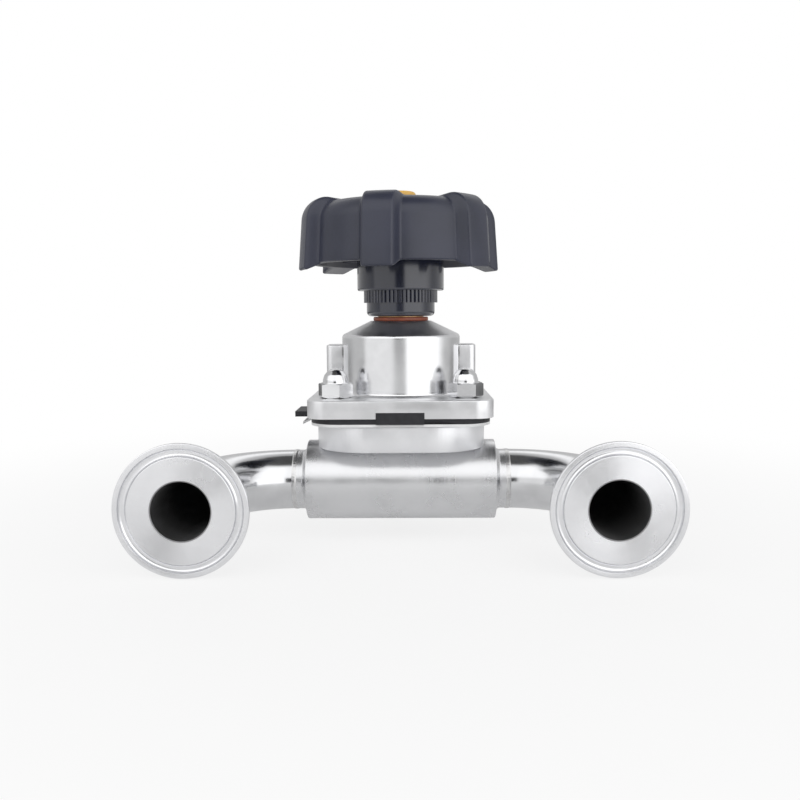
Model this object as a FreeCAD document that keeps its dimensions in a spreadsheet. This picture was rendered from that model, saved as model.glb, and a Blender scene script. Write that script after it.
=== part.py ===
import FreeCAD, Part
import math
import os
import Sketcher

doc = FreeCAD.newDocument("DiaphragmValve")
sheet = doc.addObject("Spreadsheet::Sheet", "Sizes")


class Size:
    """A length that carries both its number and the sheet formula that gives it."""

    def __init__(self, number, formula):
        self.number = float(number)
        self.formula = formula

    def __add__(self, other):
        other = as_size(other)
        return Size(self.number + other.number, f"({self.formula} + {other.formula})")

    def __sub__(self, other):
        other = as_size(other)
        return Size(self.number - other.number, f"({self.formula} - {other.formula})")

    def __mul__(self, other):
        other = as_size(other)
        return Size(self.number * other.number, f"({self.formula} * {other.formula})")

    def __truediv__(self, other):
        other = as_size(other)
        return Size(self.number / other.number, f"({self.formula} / {other.formula})")

    def __radd__(self, other):
        return as_size(other) + self

    def __rsub__(self, other):
        return as_size(other) - self

    def __rmul__(self, other):
        return as_size(other) * self

    def __neg__(self):
        return as_size(0) - self


def as_size(value):
    """Let a plain count or factor stand beside a sheet size."""
    if isinstance(value, Size):
        return value
    return Size(value, repr(float(value)))


def size(name, number):
    """Write one driving dimension into the next cell of the sheet."""
    row = size.row = getattr(size, "row", 0) + 1
    sheet.set(f"A{row}", name.replace("_", " "))
    sheet.set(f"B{row}", str(number))
    sheet.setAlias(f"B{row}", name)
    return Size(number, f"Sizes.{name}")


# The three clamp ports: 50.5 mm ferrules on 25.4 mm tube, the sanitary one inch size.
ferrule_diameter = size("ferrule_diameter", 50.5)
ferrule_length = size("ferrule_length", 21.5)
ferrule_edge = size("ferrule_edge", 1.6)
ferrule_taper_rise = size("ferrule_taper_rise", 3.9)
ferrule_taper_foot = size("ferrule_taper_foot", 29.0)
ferrule_neck_round = size("ferrule_neck_round", 1.5)
gasket_groove_diameter = size("gasket_groove_diameter", 43.5)
gasket_groove_width = size("gasket_groove_width", 3.1)
gasket_groove_depth = size("gasket_groove_depth", 1.5)
tube_diameter = size("tube_diameter", 25.4)
tube_wall = size("tube_wall", 1.65)

# The run: a round bar along X in front of the stem, with a bent tube at each end.
run_diameter = size("run_diameter", 34.0)
run_length = size("run_length", 80.0)
run_offset = size("run_offset", 12.0)
run_edge = size("run_edge", 0.4)
stub_length = size("stub_length", 4.5)
stub_flare = size("stub_flare", 1.6)
bend_radius = size("bend_radius", 35.5)
leg_length = size("leg_length", 2.6)
weld_height = size("weld_height", 0.25)
weld_width = size("weld_width", 1.8)

# The branch behind the stem, and the neck that carries the diaphragm.
branch_boss_diameter = size("branch_boss_diameter", 38.0)
branch_boss_reach = size("branch_boss_reach", 38.0)
neck_land = size("neck_land", 7.0)
neck_corner = size("neck_corner", 22.0)
neck_foot_rise = size("neck_foot_rise", 15.05)
neck_height = size("neck_height", 10.85)
neck_edge = size("neck_edge", 0.6)

# The bowl: a dish for the closed diaphragm, and a well on each side of the weir.
dish_radius = size("dish_radius", 28.5)
dish_flat_radius = size("dish_flat_radius", 10.0)
lift = size("lift", 9.0)
weir_thickness = size("weir_thickness", 7.0)
bowl_inset = size("bowl_inset", 1.5)
bowl_depth = size("bowl_depth", 7.2)
front_well_width = size("front_well_width", 32.0)
front_well_reach = size("front_well_reach", 13.0)
rear_well_width = size("rear_well_width", 17.0)
rear_well_reach = size("rear_well_reach", 16.0)
well_corner = size("well_corner", 4.0)

# The two-piece diaphragm with its tabs.
diaphragm_land = size("diaphragm_land", 8.5)
diaphragm_corner = size("diaphragm_corner", 12.0)
face_thickness = size("face_thickness", 1.1)
backing_thickness = size("backing_thickness", 2.3)
tab_width = size("tab_width", 19.4)
tab_height = size("tab_height", 2.45)
tab_root = size("tab_root", 2.8)
backing_ear_proud = size("backing_ear_proud", 8.0)
face_ear_width = size("face_ear_width", 14.0)
face_ear_proud = size("face_ear_proud", 6.0)
face_ear_droop = size("face_ear_droop", 2.6)

# The bonnet: square flange, round housing, cone shoulder and two guide posts.
flange_land = size("flange_land", 9.5)
flange_corner = size("flange_corner", 7.5)
flange_thickness = size("flange_thickness", 7.4)
flange_edge = size("flange_edge", 0.5)
notch_clearance = size("notch_clearance", 0.1)
housing_wall = size("housing_wall", 3.5)
housing_height = size("housing_height", 25.25)
housing_base_round = size("housing_base_round", 1.6)
shoulder_height = size("shoulder_height", 6.1)
shoulder_top_diameter = size("shoulder_top_diameter", 26.0)
shoulder_round = size("shoulder_round", 1.6)
housing_inset = size("housing_inset", 6.2)
housing_bore_height = size("housing_bore_height", 22.45)
post_wall = size("post_wall", 3.0)
post_cheek = size("post_cheek", 3.0)
post_height = size("post_height", 21.05)
post_edge = size("post_edge", 2.5)
guide_depth = size("guide_depth", 7.1)
guide_width = size("guide_width", 8.0)

# Studs and acorn nuts on a 54 by 46 mm pattern, set in from the edge of the dish.
bolt_inset_x = size("bolt_inset_x", 1.5)
bolt_inset_y = size("bolt_inset_y", 5.5)
stud_diameter = size("stud_diameter", 8.0)
stud_hole_clearance = size("stud_hole_clearance", 0.4)
stud_engagement = size("stud_engagement", 7.0)
nut_across_flats = size("nut_across_flats", 13.0)
nut_corner_diameter = size("nut_corner_diameter", 15.0)
nut_hex_height = size("nut_hex_height", 6.2)
nut_dome_diameter = size("nut_dome_diameter", 10.6)
nut_dome_height = size("nut_dome_height", 5.9)
nut_chamfer = size("nut_chamfer", 0.9)
nut_turn = size("nut_turn", 17.0)
nut_thread_depth = size("nut_thread_depth", 8.0)

# The threaded bush that the handwheel turns, and what holds it in the bonnet.
bush_diameter = size("bush_diameter", 20.0)
bush_flange_diameter = size("bush_flange_diameter", 28.0)
bush_flange_thickness = size("bush_flange_thickness", 1.8)
bearing_diameter = size("bearing_diameter", 32.0)
bearing_seat_depth = size("bearing_seat_depth", 1.9)
retainer_thickness = size("retainer_thickness", 3.8)
thrust_washer_thickness = size("thrust_washer_thickness", 1.0)
seal_section = size("seal_section", 2.0)
seal_level = size("seal_level", 4.5)
wiper_diameter = size("wiper_diameter", 24.0)
wiper_height = size("wiper_height", 1.7)

# The stepped hub and the handwheel with its six lobes.
collar_diameter = size("collar_diameter", 29.8)
collar_height = size("collar_height", 5.85)
collar_round = size("collar_round", 2.0)
serration_diameter = size("serration_diameter", 32.2)
serration_height = size("serration_height", 5.2)
serration_depth = size("serration_depth", 0.6)
serration_count = size("serration_count", 56)
hub_diameter = size("hub_diameter", 37.8)
hub_drop = size("hub_drop", 11.25)
wheel_height = size("wheel_height", 25.9)
wheel_diameter = size("wheel_diameter", 78.0)
wheel_draft = size("wheel_draft", 1.4)
wheel_shoulder = size("wheel_shoulder", 8.0)
wheel_wall = size("wheel_wall", 3.2)
wheel_top_thickness = size("wheel_top_thickness", 5.0)
lobe_count = size("lobe_count", 6)
lobe_diameter = size("lobe_diameter", 88.6)
lobe_draft = size("lobe_draft", 2.2)
lobe_width = size("lobe_width", 13.5)
lobe_rise = size("lobe_rise", 1.4)
lobe_drop = size("lobe_drop", 2.6)
lobe_round = size("lobe_round", 1.3)
lobe_ridge_start = size("lobe_ridge_start", 21.0)
lobe_ridge_full = size("lobe_ridge_full", 30.0)
rib_thickness = size("rib_thickness", 2.5)
wheel_turn = size("wheel_turn", 18.5)
cover_diameter = size("cover_diameter", 36.0)
cover_thickness = size("cover_thickness", 3.0)
cover_ledge = size("cover_ledge", 2.0)
cover_hole_diameter = size("cover_hole_diameter", 14.6)
insert_diameter = size("insert_diameter", 26.0)
insert_height = size("insert_height", 16.0)
insert_floor = size("insert_floor", 1.65)
lock_nut_across_flats = size("lock_nut_across_flats", 27.0)
lock_nut_height = size("lock_nut_height", 5.0)

# The rising spindle with the compressor below and the position pin above.
spindle_diameter = size("spindle_diameter", 12.0)
spindle_foot_rise = size("spindle_foot_rise", 12.5)
compressor_play = size("compressor_play", 2.3)
compressor_height = size("compressor_height", 10.0)
compressor_boss_diameter = size("compressor_boss_diameter", 20.0)
compressor_boss_height = size("compressor_boss_height", 20.0)
compressor_fin_base = size("compressor_fin_base", 9.5)
compressor_fin_height = size("compressor_fin_height", 9.5)
pin_diameter = size("pin_diameter", 4.0)
pin_rise = size("pin_rise", 17.0)
anchor_diameter = size("anchor_diameter", 6.0)
anchor_height = size("anchor_height", 9.0)
anchor_head_diameter = size("anchor_head_diameter", 11.0)
anchor_head_thickness = size("anchor_head_thickness", 1.4)
spindle_top_drop = size("spindle_top_drop", 16.0)
indicator_rod_diameter = size("indicator_rod_diameter", 5.0)
indicator_rod_socket = size("indicator_rod_socket", 6.0)
indicator_cap_diameter = size("indicator_cap_diameter", 13.8)
indicator_cap_height = size("indicator_cap_height", 9.0)
indicator_cap_proud = size("indicator_cap_proud", 5.1)
indicator_cap_round = size("indicator_cap_round", 1.4)

# Clearances: a seat between still pieces, a running fit, and free air between moving ones.
seat_clearance = size("seat_clearance", 0.03)
running_clearance = size("running_clearance", 0.06)
thrust_clearance = size("thrust_clearance", 0.1)
free_clearance = size("free_clearance", 0.3)
stop_gap = size("stop_gap", 0.8)

# Levels above the ground that the three ferrules stand on.
run_level = ferrule_diameter / 2
neck_foot_level = run_level + neck_foot_rise
neck_level = neck_foot_level + neck_height
face_level = neck_level + face_thickness
backing_level = face_level + backing_thickness
flange_level = backing_level + flange_thickness
housing_level = flange_level + housing_height
bonnet_level = housing_level + shoulder_height
wiper_level = bonnet_level + wiper_height
collar_level = wiper_level + free_clearance
serration_level = collar_level + collar_height
hub_level = serration_level + serration_height
wheel_level = hub_level + hub_drop
wheel_top_level = wheel_level + wheel_height
dish_level = neck_level - lift
compressor_level = dish_level + face_thickness + backing_thickness + free_clearance
boss_top = compressor_level + compressor_boss_height

# Widths that grow outward from the dish and from the bore of the bonnet.
bowl_radius = dish_radius - bowl_inset
neck_width = 2 * (dish_radius + neck_land)
half_diaphragm = dish_radius + diaphragm_land
half_flange = dish_radius + flange_land
diaphragm_width = 2 * half_diaphragm
flange_width = 2 * half_flange
bolt_x = dish_radius - bolt_inset_x
bolt_y = dish_radius - bolt_inset_y
tab_inner = half_diaphragm - tab_root
backing_ear_reach = half_flange + backing_ear_proud
face_ear_reach = half_diaphragm + face_ear_proud
housing_bore = 2 * (dish_radius - housing_inset)
housing_diameter = housing_bore + 2 * housing_wall
guide_reach = housing_bore / 2 + guide_depth
post_reach = guide_reach + post_wall
post_width = guide_width + 2 * post_cheek
compressor_radius = housing_bore / 2 - compressor_play

# Distances from the stem, along X and Y.
port_x = run_length / 2 + stub_length + bend_radius
port_reach = run_offset + bend_radius + leg_length + ferrule_length
tube_bore = tube_diameter - 2 * tube_wall
bush_bore = spindle_diameter + 2 * running_clearance

ORIGIN = as_size(0)
parts = []


def bind(feature, **values):
    """Set each property from its size and keep it tied to the sheet."""
    for name, value in values.items():
        value = as_size(value)
        path = name.replace("__", ".")
        if "." not in path:
            kind = feature.getTypeIdOfProperty(name)
            number = int(value.number) if kind.startswith("App::PropertyInteger") else value.number
            setattr(feature, name, number)
        feature.setExpression(path, value.formula)


def new_body(label):
    """Start a sub-part under its own label."""
    body = doc.addObject("PartDesign::Body", label)
    body.Label = label
    body.AllowCompound = True
    parts.append(body)
    return body


def new_sketch(body, name, role, level=ORIGIN):
    """Lay a sketch on one of the body's own planes, raised by level along its normal."""
    sketch = body.newObject("Sketcher::SketchObject", name)
    plane = [face for face in body.Origin.OriginFeatures if face.Role == role][0]
    sketch.AttachmentSupport = [(plane, "")]
    sketch.MapMode = "FlatFace"
    sketch.AttachmentOffset = FreeCAD.Placement(FreeCAD.Vector(0, 0, level.number), FreeCAD.Rotation())
    sketch.setExpression("AttachmentOffset.Base.z", level.formula)
    return sketch


def fix(sketch, kind, *where):
    """Add one dimension and tie it to the sheet."""
    value = where[-1]
    index = sketch.addConstraint(Sketcher.Constraint(kind, *where[:-1], value.number))
    sketch.setExpression(f"Constraints[{index}]", value.formula)


def fix_point(sketch, item, place, x, y):
    """Dimension one point of the sketch from its origin."""
    for kind, value in (("DistanceX", x), ("DistanceY", y)):
        fix(sketch, kind, -1, 1, item, place, value)


def unit(start, end):
    """Direction from one point to another."""
    return (end - start).normalize()


def outline(sketch, corners):
    """Close a loop through the corners (x, y) or (x, y, radius), each with its dimensions."""
    corners = [tuple(as_size(value) for value in corner) for corner in corners]
    spots = [FreeCAD.Vector(corner[0].number, corner[1].number, 0) for corner in corners]
    count = len(corners)
    cuts = []
    for index, corner in enumerate(corners):
        spot = spots[index]
        if len(corner) == 2:
            cuts.append((spot, spot))
            continue
        back = unit(spot, spots[index - 1])
        ahead = unit(spot, spots[(index + 1) % count])
        half = back.getAngle(ahead) / 2
        reach = corner[2].number / math.tan(half)
        cuts.append((spot + back * reach, spot + ahead * reach))
    first = sketch.GeometryCount
    for index in range(count):
        sketch.addGeometry(Part.LineSegment(cuts[index][1], cuts[(index + 1) % count][0]), False)
    for index, corner in enumerate(corners):
        line, before = first + index, first + (index - 1) % count
        if len(corner) == 2:
            sketch.addConstraint(Sketcher.Constraint("Coincident", before, 2, line, 1))
            fix_point(sketch, line, 1, corner[0], corner[1])
            continue
        start, end = cuts[index]
        inward = unit(spots[index], (start + end) / 2)
        half = unit(spots[index], start).getAngle(inward)
        centre = spots[index] + inward * (corner[2].number / math.sin(half))
        middle = centre - inward * corner[2].number
        arc = sketch.addGeometry(Part.Arc(start, middle, end), False)
        turn = (start - centre).cross(end - centre).z
        from_end, to_end = (1, 2) if turn > 0 else (2, 1)
        sketch.addConstraint(Sketcher.Constraint("Tangent", before, 2, arc, from_end))
        sketch.addConstraint(Sketcher.Constraint("Tangent", arc, to_end, line, 1))
        fix(sketch, "Radius", arc, corner[2])
        point = sketch.addGeometry(Part.Point(spots[index]), True)
        sketch.addConstraint(Sketcher.Constraint("PointOnObject", point, 1, before))
        sketch.addConstraint(Sketcher.Constraint("PointOnObject", point, 1, line))
        fix_point(sketch, point, 1, corner[0], corner[1])


def circle(sketch, diameter, x=ORIGIN, y=ORIGIN):
    """Draw one dimensioned circle."""
    x, y = as_size(x), as_size(y)
    centre = FreeCAD.Vector(x.number, y.number, 0)
    item = sketch.addGeometry(Part.Circle(centre, FreeCAD.Vector(0, 0, 1), diameter.number / 2), False)
    fix_point(sketch, item, 3, x, y)
    fix(sketch, "Diameter", item, diameter)


def frame(sketch, width, depth, radius=None, x=ORIGIN, y=ORIGIN):
    """Draw a rectangle about a centre, with round corners if a radius is given."""
    signs = ((-1, -1), (1, -1), (1, 1), (-1, 1))
    tail = () if radius is None else (radius,)
    outline(sketch, [(x + width * (a / 2), y + depth * (b / 2)) + tail for a, b in signs])


def pad(body, name, sketch, length, **more):
    """Raise a sketch into material."""
    feature = body.newObject("PartDesign::Pad", name)
    feature.Profile = sketch
    bind(feature, Length=length)
    for key, value in more.items():
        setattr(feature, key, value)
    return finish(feature)


def pocket(body, name, sketch, length, **more):
    """Cut a sketch into the body, and make sure that it removed something."""
    before = body.Shape.Volume
    feature = body.newObject("PartDesign::Pocket", name)
    feature.Profile = sketch
    bind(feature, Length=length)
    for key, value in more.items():
        setattr(feature, key, value)
    finish(feature)
    if body.Shape.Volume >= before:
        raise RuntimeError(f"{body.Label}: {name} cuts nothing")
    return feature


def turn(body, name, sketch, axis="V_Axis", cut=False):
    """Spin a half section about a sketch axis, as material or as a cut."""
    before = 0 if body.Shape.isNull() else body.Shape.Volume
    feature = body.newObject("PartDesign::Groove" if cut else "PartDesign::Revolution", name)
    feature.Profile = sketch
    feature.ReferenceAxis = (sketch, [axis])
    feature.Angle = 360
    finish(feature)
    if (body.Shape.Volume < before) != cut:
        raise RuntimeError(f"{body.Label}: {name} changed the body the wrong way")
    return feature


def finish(feature):
    """Work one feature out now, so that the next one can read it."""
    doc.recompute()
    if "Invalid" in feature.State or "Error" in feature.State or feature.Shape.isNull():
        raise RuntimeError(f"{feature.Label}: {feature.State}")
    return feature


def soften(body, name, kind, distance, chosen):
    """Fillet or chamfer the edges that the test picks."""
    base = body.Tip
    edges = [f"Edge{n + 1}" for n, edge in enumerate(base.Shape.Edges) if chosen(edge)]
    feature = body.newObject(f"PartDesign::{kind}", name)
    feature.Base = (base, edges)
    bind(feature, **{"Radius" if kind == "Fillet" else "Size": distance})
    return finish(feature)


def place(body, x=ORIGIN, y=ORIGIN, z=ORIGIN, axis=(0, 0, 1), angle=0):
    """Move a sub-part to its place."""
    rotation = FreeCAD.Rotation(FreeCAD.Vector(*axis), angle)
    x, y, z = as_size(x), as_size(y), as_size(z)
    body.Placement = FreeCAD.Placement(FreeCAD.Vector(x.number, y.number, z.number), rotation)
    for name, value in (("x", x), ("y", y), ("z", z)):
        body.setExpression(f"Placement.Base.{name}", value.formula)
    doc.recompute()


def turned(label, section, **where):
    """A sub-part turned about its own Z axis from a half section (radius, height)."""
    body = new_body(label)
    sketch = new_sketch(body, label + "_section", "XZ_Plane")
    outline(sketch, section)
    turn(body, label + "_turned", sketch)
    if where:
        place(body, **where)
    return body


def ring(label, inner, outer, low, high, round_off=None):
    """A plain ring between two diameters and two levels."""
    tail = () if round_off is None else (round_off,)
    return turned(label, [(inner / 2, low), (outer / 2, low) + tail, (outer / 2, high) + tail,
                          (inner / 2, high)])


def at_level(edge, level):
    """True for an edge that lies flat at one level."""
    box = edge.BoundBox
    return abs(box.ZMin - level.number) < 1e-3 and abs(box.ZMax - level.number) < 1e-3


# Valve body: run bar, branch boss and neck are one block of stainless steel.
valve_body = new_body("valve_body")
run_end = run_length / 2
stub_end = run_end + stub_length
tube_radius = tube_diameter / 2
flare_radius = tube_radius + stub_flare
run_edge_radius = run_diameter / 2 - run_edge
run_section = new_sketch(valve_body, "run_section", "XY_Plane", run_level)
outline(run_section, [
    (-stub_end, -run_offset),
    (stub_end, -run_offset),
    (stub_end, tube_radius - run_offset),
    (run_end + stub_flare, tube_radius - run_offset),
    (run_end, flare_radius - run_offset),
    (run_end, run_edge_radius - run_offset),
    (run_end - run_edge, run_diameter / 2 - run_offset),
    (run_edge - run_end, run_diameter / 2 - run_offset),
    (-run_end, run_edge_radius - run_offset),
    (-run_end, flare_radius - run_offset),
    (-run_end - stub_flare, tube_radius - run_offset),
    (-stub_end, tube_radius - run_offset),
])
turn(valve_body, "run_bar", run_section, "Edge1")

boss_end = branch_boss_reach
branch_stub_end = boss_end + stub_length
boss_radius = branch_boss_diameter / 2
branch_section = new_sketch(valve_body, "branch_section", "XY_Plane", run_level)
outline(branch_section, [
    (0, 0),
    (boss_radius - run_edge, 0),
    (boss_radius, run_edge),
    (boss_radius, boss_end - run_edge),
    (boss_radius - run_edge, boss_end),
    (flare_radius, boss_end),
    (tube_radius, boss_end + stub_flare),
    (tube_radius, branch_stub_end),
    (0, branch_stub_end),
])
turn(valve_body, "branch_boss", branch_section)

neck_outline = new_sketch(valve_body, "neck_outline", "XY_Plane", neck_foot_level)
frame(neck_outline, neck_width, neck_width, neck_corner)
pad(valve_body, "neck", neck_outline, neck_height)
soften(valve_body, "neck_edge", "Chamfer", neck_edge, lambda edge: at_level(edge, neck_level))

dish_section = new_sketch(valve_body, "dish_section", "XZ_Plane")
outline(dish_section, [
    (0, dish_level - seat_clearance),
    (dish_flat_radius, dish_level - seat_clearance),
    (dish_radius, neck_level - seat_clearance),
    (dish_radius, neck_level + face_thickness),
    (0, neck_level + face_thickness),
])
turn(valve_body, "dish", dish_section, cut=True)

weir_face = weir_thickness / 2


def half_moon(sketch, radius, chord, side):
    """The part of a circle beyond a chord that lies across Y, on one side."""
    half_chord = (radius.number ** 2 - chord.number ** 2) ** 0.5
    left = FreeCAD.Vector(-half_chord, side * chord.number, 0)
    right = FreeCAD.Vector(half_chord, side * chord.number, 0)
    line = sketch.addGeometry(Part.LineSegment(left, right), False)
    arc = sketch.addGeometry(Part.Arc(left, FreeCAD.Vector(0, side * radius.number, 0), right), False)
    start, end = (1, 2) if side < 0 else (2, 1)
    sketch.addConstraint(Sketcher.Constraint("Coincident", line, 1, arc, start))
    sketch.addConstraint(Sketcher.Constraint("Coincident", line, 2, arc, end))
    sketch.addConstraint(Sketcher.Constraint("Coincident", arc, 3, -1, 1))
    sketch.addConstraint(Sketcher.Constraint("Horizontal", line))
    fix(sketch, "Radius", arc, radius)
    fix(sketch, "DistanceY", -1, 1, line, 1, side * chord)


for name, side, well_width, well_reach in (
    ("front", -1, front_well_width, front_well_reach),
    ("rear", 1, rear_well_width, rear_well_reach),
):
    bowl = new_sketch(valve_body, name + "_bowl", "XY_Plane", neck_level)
    half_moon(bowl, bowl_radius, weir_face, side)
    pocket(valve_body, name + "_recess", bowl, bowl_depth)
    well = new_sketch(valve_body, name + "_well", "XY_Plane", neck_level)
    frame(well, well_width, well_reach, well_corner, y=side * (weir_face + well_reach / 2))
    pocket(valve_body, name + "_well_cut", well, neck_level - run_level)

run_bore = new_sketch(valve_body, "run_bore", "YZ_Plane", -stub_end)
circle(run_bore, tube_bore, -run_offset, run_level)
pocket(valve_body, "run_bore_cut", run_bore, 2 * stub_end, Reversed=True)
branch_bore = new_sketch(valve_body, "branch_bore", "XZ_Plane", -branch_stub_end)
circle(branch_bore, tube_bore, 0, run_level)
pocket(valve_body, "branch_bore_cut", branch_bore, branch_stub_end - weir_face, Reversed=True)

stud_radius = stud_diameter / 2
corners = [(1, 1), (-1, 1), (-1, -1), (1, -1)]
neck_holes = new_sketch(valve_body, "neck_holes", "XY_Plane", neck_level)
for a, b in corners:
    circle(neck_holes, stud_diameter + 2 * seat_clearance, a * bolt_x, b * bolt_y)
pocket(valve_body, "neck_hole_cut", neck_holes, stud_engagement)


# Bent tubes of the run and the straight tube of the branch, welded at both ends.
def weld_bead(body, name, role, level, x, backward):
    """A low bead around the tube where it is welded to its neighbour."""
    bead = new_sketch(body, name, role, level)
    circle(bead, tube_diameter + 2 * weld_height, x, run_level)
    circle(bead, tube_diameter - tube_wall, x, run_level)
    pad(body, name + "_ring", bead, weld_width, Reversed=backward)


tube_end = port_reach - ferrule_length


def elbow(label, side):
    """A 90 degree bend from the block round to the front."""
    body = new_body(label)
    path = new_sketch(body, label + "_path", "XY_Plane", run_level)
    start = FreeCAD.Vector(side * stub_end.number, -run_offset.number, 0)
    reach = bend_radius.number
    centre = start + FreeCAD.Vector(0, -reach, 0)
    middle = centre + FreeCAD.Vector(side * reach * math.sin(math.pi / 4), reach * math.cos(math.pi / 4), 0)
    end = centre + FreeCAD.Vector(side * reach, 0, 0)
    tail = end + FreeCAD.Vector(0, -leg_length.number, 0)
    arc = path.addGeometry(Part.Arc(start, middle, end), False)
    leg = path.addGeometry(Part.LineSegment(end, tail), False)
    start_point, end_point = (2, 1) if side > 0 else (1, 2)
    fix_point(path, arc, start_point, side * stub_end, -run_offset)
    fix_point(path, arc, 3, side * stub_end, -run_offset - bend_radius)
    fix(path, "DistanceY", -1, 1, arc, end_point, -run_offset - bend_radius)
    path.addConstraint(Sketcher.Constraint("Tangent", arc, end_point, leg, 1))
    fix(path, "DistanceY", leg, 2, leg, 1, leg_length)
    wall = new_sketch(body, label + "_wall", "YZ_Plane", side * stub_end)
    circle(wall, tube_diameter, -run_offset, run_level)
    circle(wall, tube_bore, -run_offset, run_level)
    doc.recompute()
    pipe = body.newObject("PartDesign::AdditivePipe", label + "_pipe")
    pipe.Profile = wall
    pipe.Spine = (path, ["Edge1", "Edge2"])
    finish(pipe)
    weld_bead(body, label + "_inner_weld", "YZ_Plane", side * stub_end, -run_offset, side < 0)
    weld_bead(body, label + "_outer_weld", "XZ_Plane", tube_end, side * port_x, True)


elbow("left_elbow", -1)
elbow("right_elbow", 1)

branch_tube = new_body("branch_tube")
tube_section = new_sketch(branch_tube, "tube_section", "XY_Plane", run_level)
outline(tube_section, [
    (tube_bore / 2, branch_stub_end),
    (tube_radius, branch_stub_end),
    (tube_radius, tube_end),
    (tube_bore / 2, tube_end),
])
turn(branch_tube, "tube", tube_section)
weld_bead(branch_tube, "boss_weld", "XZ_Plane", -branch_stub_end, ORIGIN, True)
weld_bead(branch_tube, "ferrule_weld", "XZ_Plane", -tube_end, ORIGIN, False)


# Three clamp ferrules, each turned about its own axis with the sealing face at zero.
ferrule_radius = ferrule_diameter / 2
groove_inner = (gasket_groove_diameter - gasket_groove_width) / 2
groove_outer = (gasket_groove_diameter + gasket_groove_width) / 2
taper_foot = ferrule_edge + ferrule_taper_rise
ferrule_section = [
    (tube_bore / 2, 0),
    (groove_inner, 0),
    (groove_inner, -gasket_groove_depth, gasket_groove_depth * 0.95),
    (groove_outer, -gasket_groove_depth, gasket_groove_depth * 0.95),
    (groove_outer, 0),
    (ferrule_radius, 0),
    (ferrule_radius, -ferrule_edge),
    (ferrule_taper_foot / 2, -taper_foot),
    (tube_radius, -taper_foot, ferrule_neck_round),
    (tube_radius, -ferrule_length),
    (tube_bore / 2, -ferrule_length),
]
turned("left_ferrule", ferrule_section, x=-port_x, y=-port_reach, z=run_level, axis=(1, 0, 0), angle=90)
turned("right_ferrule", ferrule_section, x=port_x, y=-port_reach, z=run_level, axis=(1, 0, 0), angle=90)
turned("branch_ferrule", ferrule_section, y=port_reach, z=run_level, axis=(1, 0, 0), angle=-90)


# Diaphragm: a PTFE face over a rubber backing, both dished onto the weir while the valve is shut.
def diaphragm(label, low, thickness):
    """A clamped square rim around a dish that reaches down to the weir."""
    body = new_body(label)
    rim = new_sketch(body, label + "_rim", "XY_Plane", low)
    frame(rim, diaphragm_width, diaphragm_width, diaphragm_corner)
    circle(rim, dish_radius * 2)
    pad(body, label + "_edge", rim, thickness)
    dish = new_sketch(body, label + "_dish", "XZ_Plane")
    outline(dish, [
        (0, low - lift),
        (dish_flat_radius, low - lift),
        (dish_radius, low),
        (dish_radius + thickness, low),
        (dish_radius + thickness, low + thickness),
        (dish_radius, low + thickness),
        (dish_flat_radius, low + thickness - lift),
        (0, low + thickness - lift),
    ])
    turn(body, label + "_dished", dish)
    stud_holes = new_sketch(body, label + "_stud_holes", "XY_Plane", low)
    for a, b in corners:
        circle(stud_holes, stud_diameter + 2 * stud_hole_clearance, a * bolt_x, b * bolt_y)
    pocket(body, label + "_stud_hole_cut", stud_holes, thickness, Reversed=True)
    return body


face = diaphragm("ptfe_face", neck_level, face_thickness)
ear = new_sketch(face, "ear_profile", "XZ_Plane")
ear_bend = half_diaphragm + (face_ear_reach - half_diaphragm) * 0.15
outline(ear, [
    (face_thickness - half_diaphragm, neck_level),
    (face_thickness - half_diaphragm, face_level),
    (-ear_bend, face_level),
    (-face_ear_reach, face_level - face_ear_droop),
    (-face_ear_reach, neck_level - face_ear_droop),
    (-ear_bend, neck_level),
])
pad(face, "ear", ear, face_ear_width, Midplane=True)

backing = diaphragm("rubber_backing", face_level, backing_thickness)
tab_top = backing_thickness + tab_height
front_tab = new_sketch(backing, "front_tab", "XY_Plane", face_level)
frame(front_tab, tab_width, half_flange - tab_inner, y=-(half_flange + tab_inner) / 2)
pad(backing, "tab", front_tab, tab_top)
side_ear = new_sketch(backing, "side_ear", "XY_Plane", face_level)
frame(side_ear, backing_ear_reach - tab_inner, tab_width, x=-(backing_ear_reach + tab_inner) / 2)
pad(backing, "ear", side_ear, backing_thickness)


# Bonnet: square flange, round housing under a cone shoulder, and two posts that guide the compressor.
bonnet = new_body("bonnet")
flange_outline = new_sketch(bonnet, "flange_outline", "XY_Plane", backing_level)
frame(flange_outline, flange_width, flange_width, flange_corner)
pad(bonnet, "flange", flange_outline, flange_thickness)
soften(bonnet, "flange_rim", "Chamfer", flange_edge,
       lambda edge: at_level(edge, flange_level) or at_level(edge, backing_level))
housing_radius = housing_diameter / 2
housing_section = new_sketch(bonnet, "housing_section", "XZ_Plane")
outline(housing_section, [
    (0, backing_level),
    (housing_radius + housing_base_round * 2, backing_level),
    (housing_radius + housing_base_round * 2, flange_level),
    (housing_radius, flange_level, housing_base_round),
    (housing_radius, housing_level, shoulder_round),
    (shoulder_top_diameter / 2, bonnet_level),
    (0, bonnet_level),
])
turn(bonnet, "housing", housing_section)
posts = new_sketch(bonnet, "posts", "XY_Plane", flange_level)
frame(posts, post_reach * 2, post_width, post_edge)
pad(bonnet, "guide_posts", posts, post_height)
inside_section = new_sketch(bonnet, "inside_section", "XZ_Plane")
bore_top = backing_level + housing_bore_height
bearing_radius = bearing_diameter / 2
bearing_level = housing_level - bearing_seat_depth
bush_hole_radius = bush_diameter / 2 + running_clearance
seal_radius = bush_diameter / 2 + seal_section
seal_low = bearing_level + seal_level - seal_section / 2
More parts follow.
